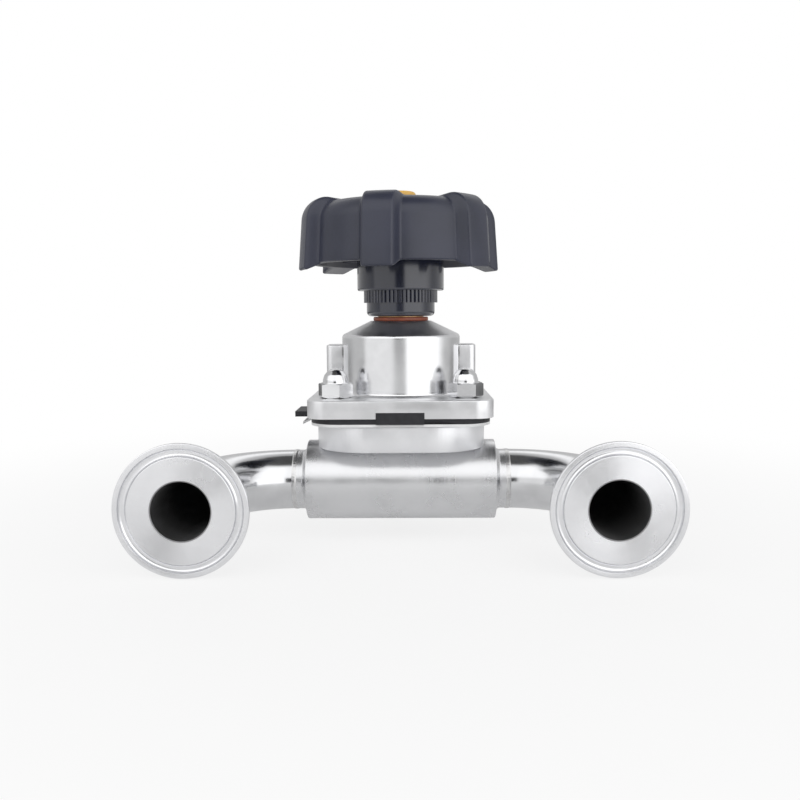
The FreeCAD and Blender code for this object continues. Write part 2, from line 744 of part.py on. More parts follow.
outline(inside_section, [
    (0, backing_level - flange_edge),
    (housing_bore / 2, backing_level - flange_edge),
    (housing_bore / 2, bore_top),
    (bearing_radius, bore_top),
    (bearing_radius, bearing_level),
    (bush_hole_radius, bearing_level),
    (bush_hole_radius, seal_low),
    (seal_radius, seal_low),
    (seal_radius, seal_low + seal_section),
    (bush_hole_radius, seal_low + seal_section),
    (bush_hole_radius, bonnet_level + flange_edge),
    (0, bonnet_level + flange_edge),
])
turn(bonnet, "inside", inside_section, cut=True)
guides = new_sketch(bonnet, "guides", "XY_Plane", backing_level)
frame(guides, guide_reach * 2, guide_width)
pocket(bonnet, "guide_slots", guides, housing_bore_height, Reversed=True)
bolt_holes = new_sketch(bonnet, "bolt_holes", "XY_Plane", backing_level)
for a, b in corners:
    circle(bolt_holes, stud_diameter + 2 * stud_hole_clearance, a * bolt_x, b * bolt_y)
pocket(bonnet, "bolt_hole_cut", bolt_holes, flange_thickness, Reversed=True)
notch_width = tab_width + 2 * notch_clearance
notch_depth = half_flange - tab_inner + notch_clearance
front_notch = new_sketch(bonnet, "front_notch", "XY_Plane", backing_level)
frame(front_notch, notch_width, notch_depth * 2, y=-half_flange)
pocket(bonnet, "front_notch_cut", front_notch, tab_height + notch_clearance, Reversed=True)


# Four studs and four acorn nuts, each set kept as one sub-part of separate solids.
def gather(label, members):
    """Join like pieces into one sub-part."""
    group = doc.addObject("Part::Compound", label)
    group.Label = label
    group.Links = members
    for member in members:
        parts.remove(member)
    parts.append(group)
    doc.recompute()
    return group


nut_top = nut_hex_height + nut_dome_height
stud_foot = neck_level - stud_engagement + seat_clearance
stud_top = flange_level + nut_thread_depth - seat_clearance * 4
gather("studs", [
    turned(f"stud_{n + 1}", [(0, stud_foot), (stud_radius, stud_foot), (stud_radius, stud_top),
                             (0, stud_top)], x=a * bolt_x, y=b * bolt_y)
    for n, (a, b) in enumerate(corners)
])


def acorn_nut(label, x, y, tightened):
    """A hexagon with chamfered corners under a dome, blind above the thread."""
    dome = nut_dome_diameter / 2
    corner = nut_corner_diameter / 2
    hole = stud_radius + seat_clearance
    flats = nut_across_flats / 2
    body = turned(label, [
        (hole, 0),
        (flats, 0),
        (corner, nut_chamfer * 0.5),
        (corner, nut_hex_height - nut_chamfer),
        (flats - nut_chamfer * 0.5, nut_hex_height),
        (dome, nut_hex_height),
        (dome, nut_top, dome * 0.96),
        (0, nut_top),
        (0, nut_thread_depth),
        (hole, nut_thread_depth),
    ])
    hexagon = new_sketch(body, label + "_flats", "XY_Plane")
    circle(hexagon, nut_corner_diameter * 1.2)
    side = nut_across_flats * (1 / math.sqrt(3))
    outline(hexagon, [(side / 2, flats), (-side / 2, flats), (-side, 0), (-side / 2, -flats),
                      (side / 2, -flats), (side, 0)])
    pocket(body, label + "_hexagon", hexagon, nut_hex_height, Reversed=True)
    place(body, x, y, flange_level, angle=tightened.number)
    body.setExpression("Placement.Rotation.Angle", tightened.formula)
    return body


nut_turns = [nut_turn * share for share in (0.5, 2.6, 1, 1.8)]
gather("cap_nuts", [
    acorn_nut(f"nut_{n + 1}", a * bolt_x, b * bolt_y, nut_turns[n]) for n, (a, b) in enumerate(corners)
])


# Bearing of the threaded bush: a retainer pressed in below, thrust washers, a seal and a wiper above.
def bore_over(diameter):
    """Radius of a still seat around a shaft or spigot of the given diameter."""
    return diameter / 2 + seat_clearance


upper_washer_low = bearing_level - thrust_washer_thickness
bush_flange_top = upper_washer_low - thrust_clearance
bush_flange_low = bush_flange_top - bush_flange_thickness
lower_washer_top = bush_flange_low - thrust_clearance
lower_washer_low = lower_washer_top - thrust_washer_thickness
retainer_low = lower_washer_low - retainer_thickness
bearing_fit = bearing_diameter - 2 * seat_clearance
washer_bore = bush_diameter + 2 * free_clearance
ring("bearing_retainer", washer_bore, bearing_fit, retainer_low, lower_washer_low)
washers = [
    ring("lower_washer", washer_bore, bearing_fit, lower_washer_low, lower_washer_top),
    ring("upper_washer", washer_bore, bearing_fit, upper_washer_low, bearing_level),
]
gather("thrust_washers", washers)
seal_gap = seat_clearance
ring("bush_seal", bush_diameter + 2 * running_clearance, 2 * (seal_radius - seal_gap),
     seal_low + seal_gap, seal_low + seal_section - seal_gap, seal_section * 0.3)
ring("wiper_ring", bush_diameter + 2 * running_clearance, wiper_diameter, bonnet_level, wiper_level)


# What turns with the handwheel: bush, collar, serrated ring, wheel, its insert, lock nut and cover.
bush_radius = bush_diameter / 2
insert_low = hub_level + insert_floor
insert_top = insert_low + insert_height
bush_top = insert_top + lock_nut_height
bush_low = boss_top + lift + stop_gap
turned("threaded_bush", [
    (bush_bore / 2, bush_low),
    (bush_radius, bush_low),
    (bush_radius, bush_flange_low),
    (bush_flange_diameter / 2, bush_flange_low),
    (bush_flange_diameter / 2, bush_flange_top),
    (bush_radius, bush_flange_top),
    (bush_radius, bush_top),
    (bush_bore / 2, bush_top),
])
on_bush = bore_over(bush_diameter)
turned("hub_collar", [
    (on_bush, collar_level),
    (collar_diameter / 2, collar_level, collar_round),
    (collar_diameter / 2, serration_level),
    (on_bush, serration_level),
])
serrated = ring("serrated_ring", on_bush * 2, serration_diameter, serration_level, hub_level)
tooth = new_sketch(serrated, "tooth_gap", "XY_Plane", serration_level)
outline(tooth, [
    (serration_diameter / 2 - serration_depth, 0),
    (serration_diameter / 2 + serration_depth, -1.2 * serration_depth),
    (serration_diameter / 2 + serration_depth, 1.2 * serration_depth),
])
gap = pocket(serrated, "tooth_gap_cut", tooth, serration_height, Reversed=True)


def around(body, name, originals, count):
    """Repeat features evenly around the body's Z axis."""
    pattern = body.newObject("PartDesign::PolarPattern", name)
    pattern.Originals = originals
    pattern.Axis = ([face for face in body.Origin.OriginFeatures if face.Role == "Z_Axis"][0], [""])
    pattern.Angle = 360
    bind(pattern, Occurrences=count)
    body.Tip = pattern
    return finish(pattern)


around(serrated, "serrations", [gap], serration_count)


def is_lobe_edge(edge):
    """True for the flank edges of the lobes that face outward or up."""
    middle = edge.valueAt((edge.FirstParameter + edge.LastParameter) / 2)
    step = 2 * math.pi / lobe_count.number
    bearing = math.atan2(middle.y, middle.x) % step
    distance = math.hypot(middle.x, middle.y)
    aside = distance * math.sin(min(bearing, step - bearing))
    on_flank = abs(aside - lobe_width.number / 2) < 1e-3
    below = middle.z < wheel_level.number
    outside = distance > wheel_radius.number + 0.5 and not below
    on_top = abs(middle.z - lobe_top_level.number) < 1e-3
    return on_flank and (outside or on_top)


wheel = new_body("handwheel")
hub_radius = hub_diameter / 2
wheel_radius = wheel_diameter / 2
wheel_top_radius = wheel_radius - wheel_draft
roof_level = wheel_top_level - wheel_top_thickness
cover_seat_level = wheel_top_level - cover_thickness
skirt_inner = wheel_radius - wheel_wall
skirt_top_inner = wheel_top_radius - wheel_wall
wheel_section = new_sketch(wheel, "wheel_section", "XZ_Plane")
outline(wheel_section, [
    (on_bush, hub_level),
    (hub_radius, hub_level),
    (hub_radius, roof_level, 2),
    (skirt_top_inner, roof_level, wheel_shoulder - wheel_wall),
    (skirt_inner, wheel_level),
    (wheel_radius, wheel_level),
    (wheel_top_radius, wheel_top_level, wheel_shoulder),
    (cover_diameter / 2, wheel_top_level),
    (cover_diameter / 2, cover_seat_level),
    (cover_diameter / 2 - cover_ledge, cover_seat_level),
    (cover_diameter / 2 - cover_ledge, insert_top),
    (insert_diameter / 2, insert_top),
    (insert_diameter / 2, insert_low),
    (on_bush, insert_low),
])
turn(wheel, "wheel_shell", wheel_section)
lobe_radius = lobe_diameter / 2
lobe_top_level = wheel_top_level + lobe_rise
lobe_profile = new_sketch(wheel, "lobe_profile", "XZ_Plane")
outline(lobe_profile, [
    (skirt_inner + 1, wheel_level - lobe_drop),
    (lobe_radius, wheel_level - lobe_drop),
    (lobe_radius - lobe_draft, lobe_top_level, wheel_shoulder),
    (lobe_ridge_full, lobe_top_level),
    (lobe_ridge_start, wheel_top_level),
    (lobe_ridge_start, roof_level + 1),
    (skirt_top_inner + 1, roof_level + 1),
])
lobe = pad(wheel, "lobe", lobe_profile, lobe_width, Midplane=True)
rib_profile = new_sketch(wheel, "rib_profile", "XZ_Plane")
outline(rib_profile, [
    (hub_radius - 1, wheel_level + 3),
    (skirt_inner + 1, wheel_level + 1),
    (skirt_top_inner + 1, roof_level + 1),
    (hub_radius - 1, roof_level + 1),
])
rib = pad(wheel, "rib", rib_profile, rib_thickness, Midplane=True)
around(wheel, "lobes", [lobe, rib], lobe_count)
soften(wheel, "lobe_round", "Fillet", lobe_round, is_lobe_edge)
place(wheel, angle=wheel_turn.number)
wheel.setExpression("Placement.Rotation.Angle", wheel_turn.formula)

ring("hub_insert", on_bush * 2, insert_diameter - 2 * seat_clearance, insert_low, insert_top)
lock_nut = new_body("lock_nut")
nut_outline = new_sketch(lock_nut, "nut_outline", "XY_Plane", insert_top)
lock_half = lock_nut_across_flats / 2
lock_side = lock_nut_across_flats * (1 / math.sqrt(3))
outline(nut_outline, [
    (lock_side / 2, lock_half),
    (-lock_side / 2, lock_half),
    (-lock_side, 0),
    (-lock_side / 2, -lock_half),
    (lock_side / 2, -lock_half),
    (lock_side, 0),
])
circle(nut_outline, on_bush * 2)
pad(lock_nut, "nut", nut_outline, lock_nut_height)
ring("wheel_cover", cover_hole_diameter, cover_diameter - 2 * seat_clearance, cover_seat_level,
     wheel_top_level)


# What rises with the diaphragm: compressor, spindle, cross pin, diaphragm anchor and position pin.
compressor = new_body("compressor")
dish_slope = lift / (dish_radius - dish_flat_radius)
press_radius = dish_flat_radius - free_clearance / 2
shoulder_level = compressor_level + compressor_height
compressor_section = new_sketch(compressor, "compressor_section", "XZ_Plane")
outline(compressor_section, [
    (0, compressor_level),
    (press_radius, compressor_level),
    (compressor_radius, compressor_level + (compressor_radius - press_radius) * dish_slope),
    (compressor_radius, shoulder_level),
    (compressor_boss_diameter / 2, shoulder_level),
    (compressor_boss_diameter / 2, boss_top),
    (0, boss_top),
])
turn(compressor, "compressor_form", compressor_section)
fins = new_sketch(compressor, "fins", "XY_Plane", compressor_level + compressor_fin_base)
frame(fins, 2 * (guide_reach - free_clearance), guide_width - 2 * free_clearance)
pad(compressor, "guide_fins", fins, compressor_fin_height)
spindle_low = compressor_level + spindle_foot_rise
anchor_top = compressor_level + anchor_height
head_top = compressor_level + anchor_head_thickness
spindle_seat = bore_over(spindle_diameter)
anchor_seat = bore_over(anchor_diameter)
head_seat = bore_over(anchor_head_diameter)
anchor_hole = new_sketch(compressor, "anchor_hole", "XZ_Plane")
outline(anchor_hole, [
    (0, compressor_level - free_clearance),
    (head_seat, compressor_level - free_clearance),
    (head_seat, head_top + seat_clearance),
    (anchor_seat, head_top + seat_clearance),
    (anchor_seat, anchor_top + seat_clearance),
    (0, anchor_top + seat_clearance),
])
turn(compressor, "anchor_seat", anchor_hole, cut=True)
socket = new_sketch(compressor, "socket", "XY_Plane", boss_top)
circle(socket, spindle_seat * 2)
pocket(compressor, "spindle_socket", socket, boss_top - spindle_low)
pin_level = compressor_level + pin_rise
pin_hole_diameter = pin_diameter + 2 * seat_clearance
pin_reach = compressor_boss_diameter


def cross_hole(body):
    """The hole for the pin, across Y."""
    hole = new_sketch(body, body.Label + "_pin_hole", "XZ_Plane")
    circle(hole, pin_hole_diameter, 0, pin_level)
    pocket(body, body.Label + "_pin_cut", hole, pin_reach * 1.2, Midplane=True)


cross_hole(compressor)
spindle_top = wheel_top_level - spindle_top_drop
rod_low = spindle_top - indicator_rod_socket
rod_seat = bore_over(indicator_rod_diameter)
spindle = turned("spindle", [
    (0, spindle_low),
    (spindle_diameter / 2, spindle_low),
    (spindle_diameter / 2, spindle_top),
    (rod_seat, spindle_top),
    (rod_seat, rod_low),
    (0, rod_low),
])
cross_hole(spindle)
pin = new_body("compressor_pin")
pin_round = new_sketch(pin, "pin_round", "XZ_Plane")
circle(pin_round, pin_diameter, 0, pin_level)
pad(pin, "pin_length", pin_round, pin_reach - 4 * seat_clearance, Midplane=True)
turned("diaphragm_anchor", [
    (0, compressor_level),
    (anchor_head_diameter / 2, compressor_level),
    (anchor_head_diameter / 2, head_top),
    (anchor_diameter / 2, head_top),
    (anchor_diameter / 2, anchor_top),
    (0, anchor_top),
])
cap_top = wheel_top_level + indicator_cap_proud
cap_low = cap_top - indicator_cap_height
rod_top = cap_top - indicator_cap_height / 2
turned("indicator_rod", [
    (0, rod_low),
    (indicator_rod_diameter / 2, rod_low),
    (indicator_rod_diameter / 2, rod_top),
    (0, rod_top),
])
turned("indicator_cap", [
    (rod_seat, cap_low),
    (indicator_cap_diameter / 2, cap_low),
    (indicator_cap_diameter / 2, cap_top, indicator_cap_round),
    (0, cap_top),
    (0, rod_top),
    (rod_seat, rod_top),
])


# Check every feature and every shape, then write one file for each sub-part.
doc.recompute()
for item in doc.Objects:
    if "Invalid" in item.State or "Error" in item.State:
        raise RuntimeError(f"{item.Label}: {item.State}")
for body in parts:
    if body.Shape.isNull() or not body.Shape.isValid():
        raise RuntimeError(f"{body.Label} has no sound shape")
os.makedirs("parts", exist_ok=True)
for body in parts:
    body.Shape.exportStep(f"parts/{body.Label}.step")
    box = body.Shape.BoundBox
    print(f"{body.Label:18s} solids {len(body.Shape.Solids)} volume {body.Shape.Volume:8.0f}"
          f" x {box.XMin:7.2f} {box.XMax:7.2f} y {box.YMin:7.2f} {box.YMax:7.2f}"
          f" z {box.ZMin:7.2f} {box.ZMax:7.2f}")
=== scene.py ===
import math
import bmesh
import bpy
from mathutils import Matrix, Vector


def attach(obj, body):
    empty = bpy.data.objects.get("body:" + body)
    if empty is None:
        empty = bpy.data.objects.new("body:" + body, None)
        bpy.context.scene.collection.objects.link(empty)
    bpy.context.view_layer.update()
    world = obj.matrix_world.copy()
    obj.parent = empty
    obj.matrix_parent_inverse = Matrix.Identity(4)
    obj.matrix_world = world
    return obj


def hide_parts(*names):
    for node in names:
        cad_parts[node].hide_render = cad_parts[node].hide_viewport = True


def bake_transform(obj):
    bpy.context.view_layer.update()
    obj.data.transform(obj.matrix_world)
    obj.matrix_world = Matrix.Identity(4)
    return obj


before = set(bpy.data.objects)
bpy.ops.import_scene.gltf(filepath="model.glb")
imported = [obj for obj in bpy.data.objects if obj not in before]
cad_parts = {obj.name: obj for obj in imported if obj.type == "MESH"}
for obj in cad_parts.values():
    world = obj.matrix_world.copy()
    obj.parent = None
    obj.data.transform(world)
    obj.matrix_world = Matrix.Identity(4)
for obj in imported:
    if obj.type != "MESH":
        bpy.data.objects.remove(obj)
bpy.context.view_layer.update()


# Photo studio: a soft box on each side of the camera, the two meeting above it under a dark
# top and leaving a dark gap where it stands, and a lamp high at the back over a dimmer low
# part. Polished steel shows them as bright flanks, with a darker line down its round parts.
class Signal:
    """A value in a shader; arithmetic on it adds the Math nodes."""

    def __init__(self, tree, socket=None):
        self.tree = tree
        self.socket = socket

    def node(self, kind, settings=None, inputs=None, output=0):
        """Add a node: its settings first, then the values or links of its sockets."""
        node = self.tree.nodes.new(kind)
        for name, value in (settings or {}).items():
            setattr(node, name, value)
        for name, value in (inputs or {}).items():
            if isinstance(value, Signal):
                self.tree.links.new(value.socket, node.inputs[name])
            else:
                node.inputs[name].default_value = value
        return Signal(self.tree, node.outputs[output] if node.outputs else None)

    def maths(self, operation, *values):
        return self.node("ShaderNodeMath", {"operation": operation}, dict(enumerate(values)))

    def __add__(self, other):
        return self.maths("ADD", self, other)

    def __sub__(self, other):
        return self.maths("SUBTRACT", self, other)

    def __rsub__(self, other):
        return self.maths("SUBTRACT", other, self)

    def __mul__(self, other):
        return self.maths("MULTIPLY", self, other)

    def __truediv__(self, other):
        return self.maths("DIVIDE", self, other)

    def __pow__(self, other):
        return self.maths("POWER", self, other)

    def __abs__(self):
        return self.maths("ABSOLUTE", self)

    __radd__ = __add__
    __rmul__ = __mul__

    def ramp(self, low, high, bottom=0.0, top=1.0):
        """Smooth step from one value to another, between low and high."""
        return self.node("ShaderNodeMapRange", {"interpolation_type": "SMOOTHSTEP"}, {
            "Value": self, "From Min": low, "From Max": high, "To Min": bottom, "To Max": top})

    def band(self, low, high, soft):
        """1 between low and high, with soft edges."""
        return self.ramp(low - soft, low + soft) * self.ramp(high - soft, high + soft, 1.0, 0.0)

    def axis(self, name):
        return self.node("ShaderNodeSeparateXYZ", {}, {"Vector": self}, "XYZ".index(name))

    def tint(self, dark, light):
        """Mix two colours by this value."""
        return self.node("ShaderNodeMix", {"data_type": "RGBA"}, {
            "Factor": self, 6: (*dark, 1.0), 7: (*light, 1.0)}, 2)


WHITE = (1.0, 1.0, 1.0, 1.0)
ROOM = 0.5
ROOM_AT_BACK = 0.12
LEFT_BOX = 0.52
RIGHT_BOX = 1.2
ABOVE_CAMERA = 0.9
BELOW_CAMERA = 0.22
BACK_LAMP = 0.7
DARK_TOP = 0.85
DIM_LOW_BACK = 0.75
world = bpy.data.worlds.new("studio")
bpy.context.scene.world = world
world.use_nodes = True
world.node_tree.nodes.clear()
air = Signal(world.node_tree)
toward = air.node("ShaderNodeTexCoord")
east, north, up = (toward.axis(name) for name in "XYZ")
ahead = (0 - north).ramp(-0.12, 0.42)
sideways = east / (abs(north) + 0.02)
left_side = sideways.band(low=-3.1, high=-0.22, soft=0.07)
right_side = sideways.ramp(0.12, 0.26)
sides = left_side * LEFT_BOX + right_side * RIGHT_BOX
above = up.ramp(0.20, 0.32) * (1.0 - sides) * ABOVE_CAMERA
boxes = (sides + above) * ahead * up.band(low=-0.35, high=0.88, soft=0.05)
middle = sideways.band(low=-0.23, high=0.2, soft=0.05) * ahead
gap = 1 - middle * up.band(low=-0.01, high=0.24, soft=0.03)
floor_glow = middle * up.ramp(-0.05, -0.02, BELOW_CAMERA, 0.0)
shade = 1 - up.ramp(0.88, 0.93) * north.ramp(0.36, 0.56, 1.0, 0.0) * DARK_TOP
low_back = 1 - up.ramp(-0.10, -0.02, 1.0, 0.0) * north.ramp(0.2, 0.5) * DIM_LOW_BACK
back_lamp = up.band(low=0.55, high=0.85, soft=0.06) * north.ramp(0.56, 0.72) * BACK_LAMP
room = (ROOM + (1 - ahead) * ROOM_AT_BACK) * gap * shade * low_back
glow = room + floor_glow + boxes + back_lamp
soft_grey = air.node("ShaderNodeBackground", {}, {"Color": glow, "Strength": 1.0})
plain_white = air.node("ShaderNodeBackground", {}, {"Color": WHITE, "Strength": 1.0})
is_camera = air.node("ShaderNodeLightPath")
sky = air.node("ShaderNodeMixShader", {}, {0: is_camera, 1: soft_grey, 2: plain_white})
air.node("ShaderNodeOutputWorld", {}, {"Surface": sky})


# Table: a pale sheet under the three ports, which lights the undersides and keeps a
# faint shadow. The camera sees it nearly white, as the ground of the photograph is; its
# white glow is painted weaker near the valve, a painted grey pool, and in reflections a
# painted shadow under the ports.
MM = 0.001
TABLE_RADIUS = 450
TABLE_DROP = 0.5


def mesh_object(form, name):
    """Turn a form drawn in millimetres into an object in metres with even normals."""
    bmesh.ops.scale(form, vec=(MM, MM, MM), verts=form.verts)
    bmesh.ops.recalc_face_normals(form, faces=form.faces)
    mesh = bpy.data.meshes.new(name)
    form.to_mesh(mesh)
    form.free()
    item = bpy.data.objects.new(name, mesh)
    bpy.context.scene.collection.objects.link(item)
    return item


def surface(name):
    """An empty material; returns it and the maker of its nodes."""
    material = bpy.data.materials.new(name)
    material.use_nodes = True
    material.node_tree.nodes.clear()
    return material, Signal(material.node_tree)


sheet = bmesh.new()
bmesh.ops.create_circle(sheet, radius=TABLE_RADIUS, segments=96, cap_ends=True)
bmesh.ops.translate(sheet, verts=sheet.verts, vec=(0, 0, -TABLE_DROP))
table = mesh_object(sheet, "table")
paper, make = surface("paper")
spot = make.node("ShaderNodeTexCoord", output=3)
fibre = make.node("ShaderNodeTexNoise", {}, {"Vector": spot, "Scale": 30.0, "Detail": 3.0})
paper_colour = fibre.tint(dark=(0.80, 0.80, 0.80), light=(0.84, 0.84, 0.84))
matt = make.node("ShaderNodeBsdfDiffuse", {}, {"Color": paper_colour})
blank = make.node("ShaderNodeEmission", {}, {"Color": WHITE, "Strength": 1.0})
seen = make.node("ShaderNodeLightPath")
mirrored = make.node("ShaderNodeLightPath", {}, {}, "Is Glossy Ray")
away = make.node("ShaderNodeVectorMath", {"operation": "LENGTH"}, {0: spot}, "Value")
# Painted shade: the share of white glow falls towards the valve, for the camera to 0.8 and in reflections
# much lower, so the sheet is painted greyer there.
camera_glow_shaded_near = seen * away.ramp(0.10, 0.40, 0.8, 1.0)
reflected_glow_shaded_near = mirrored * (away.ramp(0.06, 0.22, 0.3, 0.66) + away.ramp(0.24, 0.34, 0.0, 0.26))
share = make.maths("MAXIMUM", camera_glow_shaded_near, reflected_glow_shaded_near)
make.node("ShaderNodeOutputMaterial", {}, {
    "Surface": make.node("ShaderNodeMixShader", {}, {0: share, 1: matt, 2: blank})})
table.data.materials.append(paper)


# Camera: level with the collar under the wheel and 37 cm ahead of the stem, looking a
# little down, as the photograph's perspective of the front ports and the wheel gives it.
PHOTO_WIDTH = 800
FOCAL_PIXELS = 837.7
SENSOR = 36.0
EYE = (5.75, -369.9, 98.0)
PITCH = math.radians(6.138)
YAW = math.radians(0.986)
ROLL = math.radians(-0.405)
camera = bpy.data.cameras.new("camera")
camera.sensor_width = SENSOR
camera.lens = FOCAL_PIXELS * SENSOR / PHOTO_WIDTH
camera.clip_start = 0.01
camera.clip_end = 20.0
camera.dof.use_dof = False
stand = bpy.data.objects.new("camera", camera)
bpy.context.scene.collection.objects.link(stand)
heading = Matrix.Rotation(YAW, 4, "Z") @ Matrix.Rotation(math.pi / 2 - PITCH, 4, "X")
aim = heading @ Matrix.Rotation(ROLL, 4, "Z")
stand.matrix_world = Matrix.Translation(Vector(EYE) * MM) @ aim
bpy.context.scene.camera = stand
bpy.context.scene.view_settings.view_transform = "Standard"


# Valve block: the run bar, the branch boss behind it and the neck above are one forging
# of 316L steel, turned and milled, then brushed; the run bar shows a finer grain.
RUN = 25.25
RUN_Y = -12
RUN_RADIUS = 17
RUN_SHOULDER = 40
BOSS_RADIUS = 19
BOSS_START = 2
BOSS_SHOULDER = 38
TUBE = 12.7
BORE = 11.05
STUB = 4.5
FLARE = 1.6
FLARE_ROOT = 14.3
NECK_WIDTH = 71
NECK_CORNER = 22
NECK_FOOT = 40.3
NECK_TOP = 51.15
FULL_TURN = 2 * math.pi
HAIR = 1e-4


def rounded(corners, closed=False, arc=6):
    """A wire through corners (a, b) or (a, b, radius), the radii turned into arcs.

    It lies in XZ with a along X. Long straight edges get a point near each end, so
    that smooth shading keeps flats flat."""
    long_edge = 1.5
    near_end = 0.25
    form = bmesh.new()
    spots = [form.verts.new((corner[0], 0, corner[1])) for corner in corners]
    edges = [form.edges.new(pair) for pair in zip(spots, spots[1:])]
    if closed:
        edges.append(form.edges.new((spots[-1], spots[0])))
    for spot, corner in zip(spots, corners):
        if len(corner) < 3:
            continue
        ways = [(edge.other_vert(spot).co - spot.co).normalized() for edge in spot.link_edges]
        half = ways[0].angle(ways[1]) / 2
        bmesh.ops.bevel(form, geom=[spot], offset=corner[2] / math.tan(half), segments=arc,
                        profile=0.5, affect="VERTICES", clamp_overlap=False, material=-1)
    for edge in list(form.edges):
        length = edge.calc_length()
        if length > long_edge:
            near = bmesh.utils.edge_split(edge, edge.verts[0], near_end / length)[1]
            rest = [e for e in near.link_edges if e.calc_length() > long_edge - 2 * near_end]
            if rest:
                bmesh.utils.edge_split(rest[0], near, 1 - near_end / rest[0].calc_length())
    return form


def turned(corners, steps=128, closed=False, arc=6, angle=FULL_TURN):
    """Spin a rounded wire of (radius, level) corners about Z."""
    form = rounded(corners, closed, arc)
    bmesh.ops.spin(form, geom=form.verts[:] + form.edges[:], cent=(0, 0, 0), axis=(0, 0, 1),
                   angle=angle, steps=steps, use_merge=angle == FULL_TURN, use_duplicate=False)
    bmesh.ops.remove_doubles(form, verts=form.verts, dist=HAIR)
    return form


def only_verts(geom):
    return [item for item in geom if isinstance(item, bmesh.types.BMVert)]


def prism(corners, low, high, edge=0.0, arc=6, hole=None, top_only=False):
    """Extrude a closed outline of (x, y) or (x, y, radius) corners up from low to high.

    hole is a second outline inside it; edge breaks the rims, or only those on top."""
    sharp = 1.2
    form = rounded(corners, True, arc)
    if hole:
        form = joined(form, rounded(hole, True, arc))
    lie_flat = Matrix.Rotation(-math.pi / 2, 3, "X")
    bmesh.ops.rotate(form, cent=(0, 0, 0), matrix=lie_flat, verts=form.verts)
    bmesh.ops.translate(form, vec=(0, 0, low), verts=form.verts)
    if hole:
        filled = bmesh.ops.triangle_fill(form, use_beauty=True, edges=form.edges[:], normal=(0, 0, 1))
        base = [item for item in filled["geom"] if isinstance(item, bmesh.types.BMFace)]
    else:
        base = bmesh.ops.contextual_create(form, geom=form.edges[:])["faces"]
    top = bmesh.ops.extrude_face_region(form, geom=base, use_keep_orig=True)["geom"]
    bmesh.ops.translate(form, vec=(0, 0, high - low), verts=only_verts(top))
    bmesh.ops.recalc_face_normals(form, faces=form.faces)
    if edge:
        rims = [e for e in form.edges if len(e.link_faces) == 2 and e.calc_face_angle(0) > sharp
                and abs(e.verts[0].co.z - e.verts[1].co.z) < HAIR
                and not (top_only and e.verts[0].co.z < high - HAIR)]
        bmesh.ops.bevel(form, geom=rims, offset=edge, segments=3, profile=0.5, affect="EDGES",
                        clamp_overlap=False, material=-1)
    return form


def moved(form, matrix):
    bmesh.ops.transform(form, matrix=matrix, verts=form.verts)
    return form


def on_run(form, x, y, direction):
    """Turn a form to a direction and put it at x and y, on the level of the run."""
    return moved(form, Matrix.Translation((x, y, RUN)) @ direction)


def joined(*forms):
    """One form out of several that touch or sink into each other."""
    whole = bmesh.new()
    for form in forms:
        spare = bpy.data.meshes.new("spare")
        form.to_mesh(spare)
        form.free()
        whole.from_mesh(spare)
        bpy.data.meshes.remove(spare)
    return whole


def box_outline(width, depth, radius, x=0.0, y=0.0):
    corners = ((-1, -1), (1, -1), (1, 1), (-1, 1))
    return [(x + a * width / 2, y + b * depth / 2, radius) for a, b in corners]


def stub(radius, shoulder):
    """Corners from the edge of a round bar, down its flared shoulder, to the stub's end."""
    return [(radius, shoulder, 0.4), (FLARE_ROOT, shoulder, 0.3), (TUBE, shoulder + FLARE, 1.2),
            (TUBE, shoulder + STUB), (BORE, shoulder + STUB)]


def add_piece(form, name, body, finish, replaced=(), crease=32):
    """Make the object, shade it smooth up to the crease angle and hand it to its body."""
    item = mesh_object(form, name)
    item.data.shade_smooth()
    item.data.set_sharp_from_angle(angle=math.radians(crease))
    item.data.materials.append(finish)
    if body:
        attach(item, body)
    if replaced:
        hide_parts(*replaced)
    return item


def metal(name, light, dark, rough, uneven=0.04, lines=None, line_depth=0.0, scale=60.0, satin=None,
          dull_and_shaded=None):
    """Finished metal: a little cloudiness in tone and polish, and the finishing lines.

    lines is a function that turns the Object coordinates, in millimetres, into the phase
    of the polishing lines; satin is one that says where the surface is left satin, and
    the last one says where it is left rougher and painted dark grey as shade."""
    satin_roughness = 0.15
    dull_roughness = 0.3
    painted_bore_shade = (0.28, 0.28, 0.285, 1.0)
    material, make = surface(name)
    where = make.node("ShaderNodeTexCoord", output=3)
    cloud = make.node("ShaderNodeTexNoise", {}, {
        "Vector": where, "Scale": scale, "Detail": 4.0, "Roughness": 0.6})
    inputs = {
        "Base Color": cloud.ramp(0.35, 0.65).tint(dark, light),
        "Roughness": cloud.ramp(0.3, 0.7, rough - uneven, rough + uneven),
        "Metallic": 1.0,
    }
    millimetres = make.node("ShaderNodeVectorMath", {"operation": "SCALE"}, {0: where, "Scale": 1 / MM})
    if satin:
        inputs["Roughness"] = inputs["Roughness"] + satin(millimetres) * satin_roughness
    if dull_and_shaded:
        # Painted shade: where this mask is 1 the colour turns dark grey, as shade in a bore, and the
        # surface rougher.
        inside = dull_and_shaded(millimetres)
        inputs["Roughness"] = inputs["Roughness"] + inside * dull_roughness
        inputs["Base Color"] = make.node("ShaderNodeMix", {"data_type": "RGBA"}, {
            "Factor": inside, 6: inputs["Base Color"], 7: painted_bore_shade}, 2)
    if lines:
        wave = make.maths("SINE", lines(make, millimetres))
        inputs["Normal"] = make.node("ShaderNodeBump", {}, {
            "Height": wave, "Strength": 1.0, "Distance": line_depth * MM})
    shine = make.node("ShaderNodeBsdfPrincipled", {}, inputs)
    make.node("ShaderNodeOutputMaterial", {}, {"Surface": shine})
    return material


def across(axis, period):
    """Fine straight grain: lines of uneven height across one axis."""
    def phase(make, place):
        fuzz = make.node("ShaderNodeTexNoise", {"noise_dimensions": "1D"}, {
            "W": place.axis(axis), "Scale": 1.0 / period, "Detail": 2.0})
        return fuzz * 40.0
    return phase


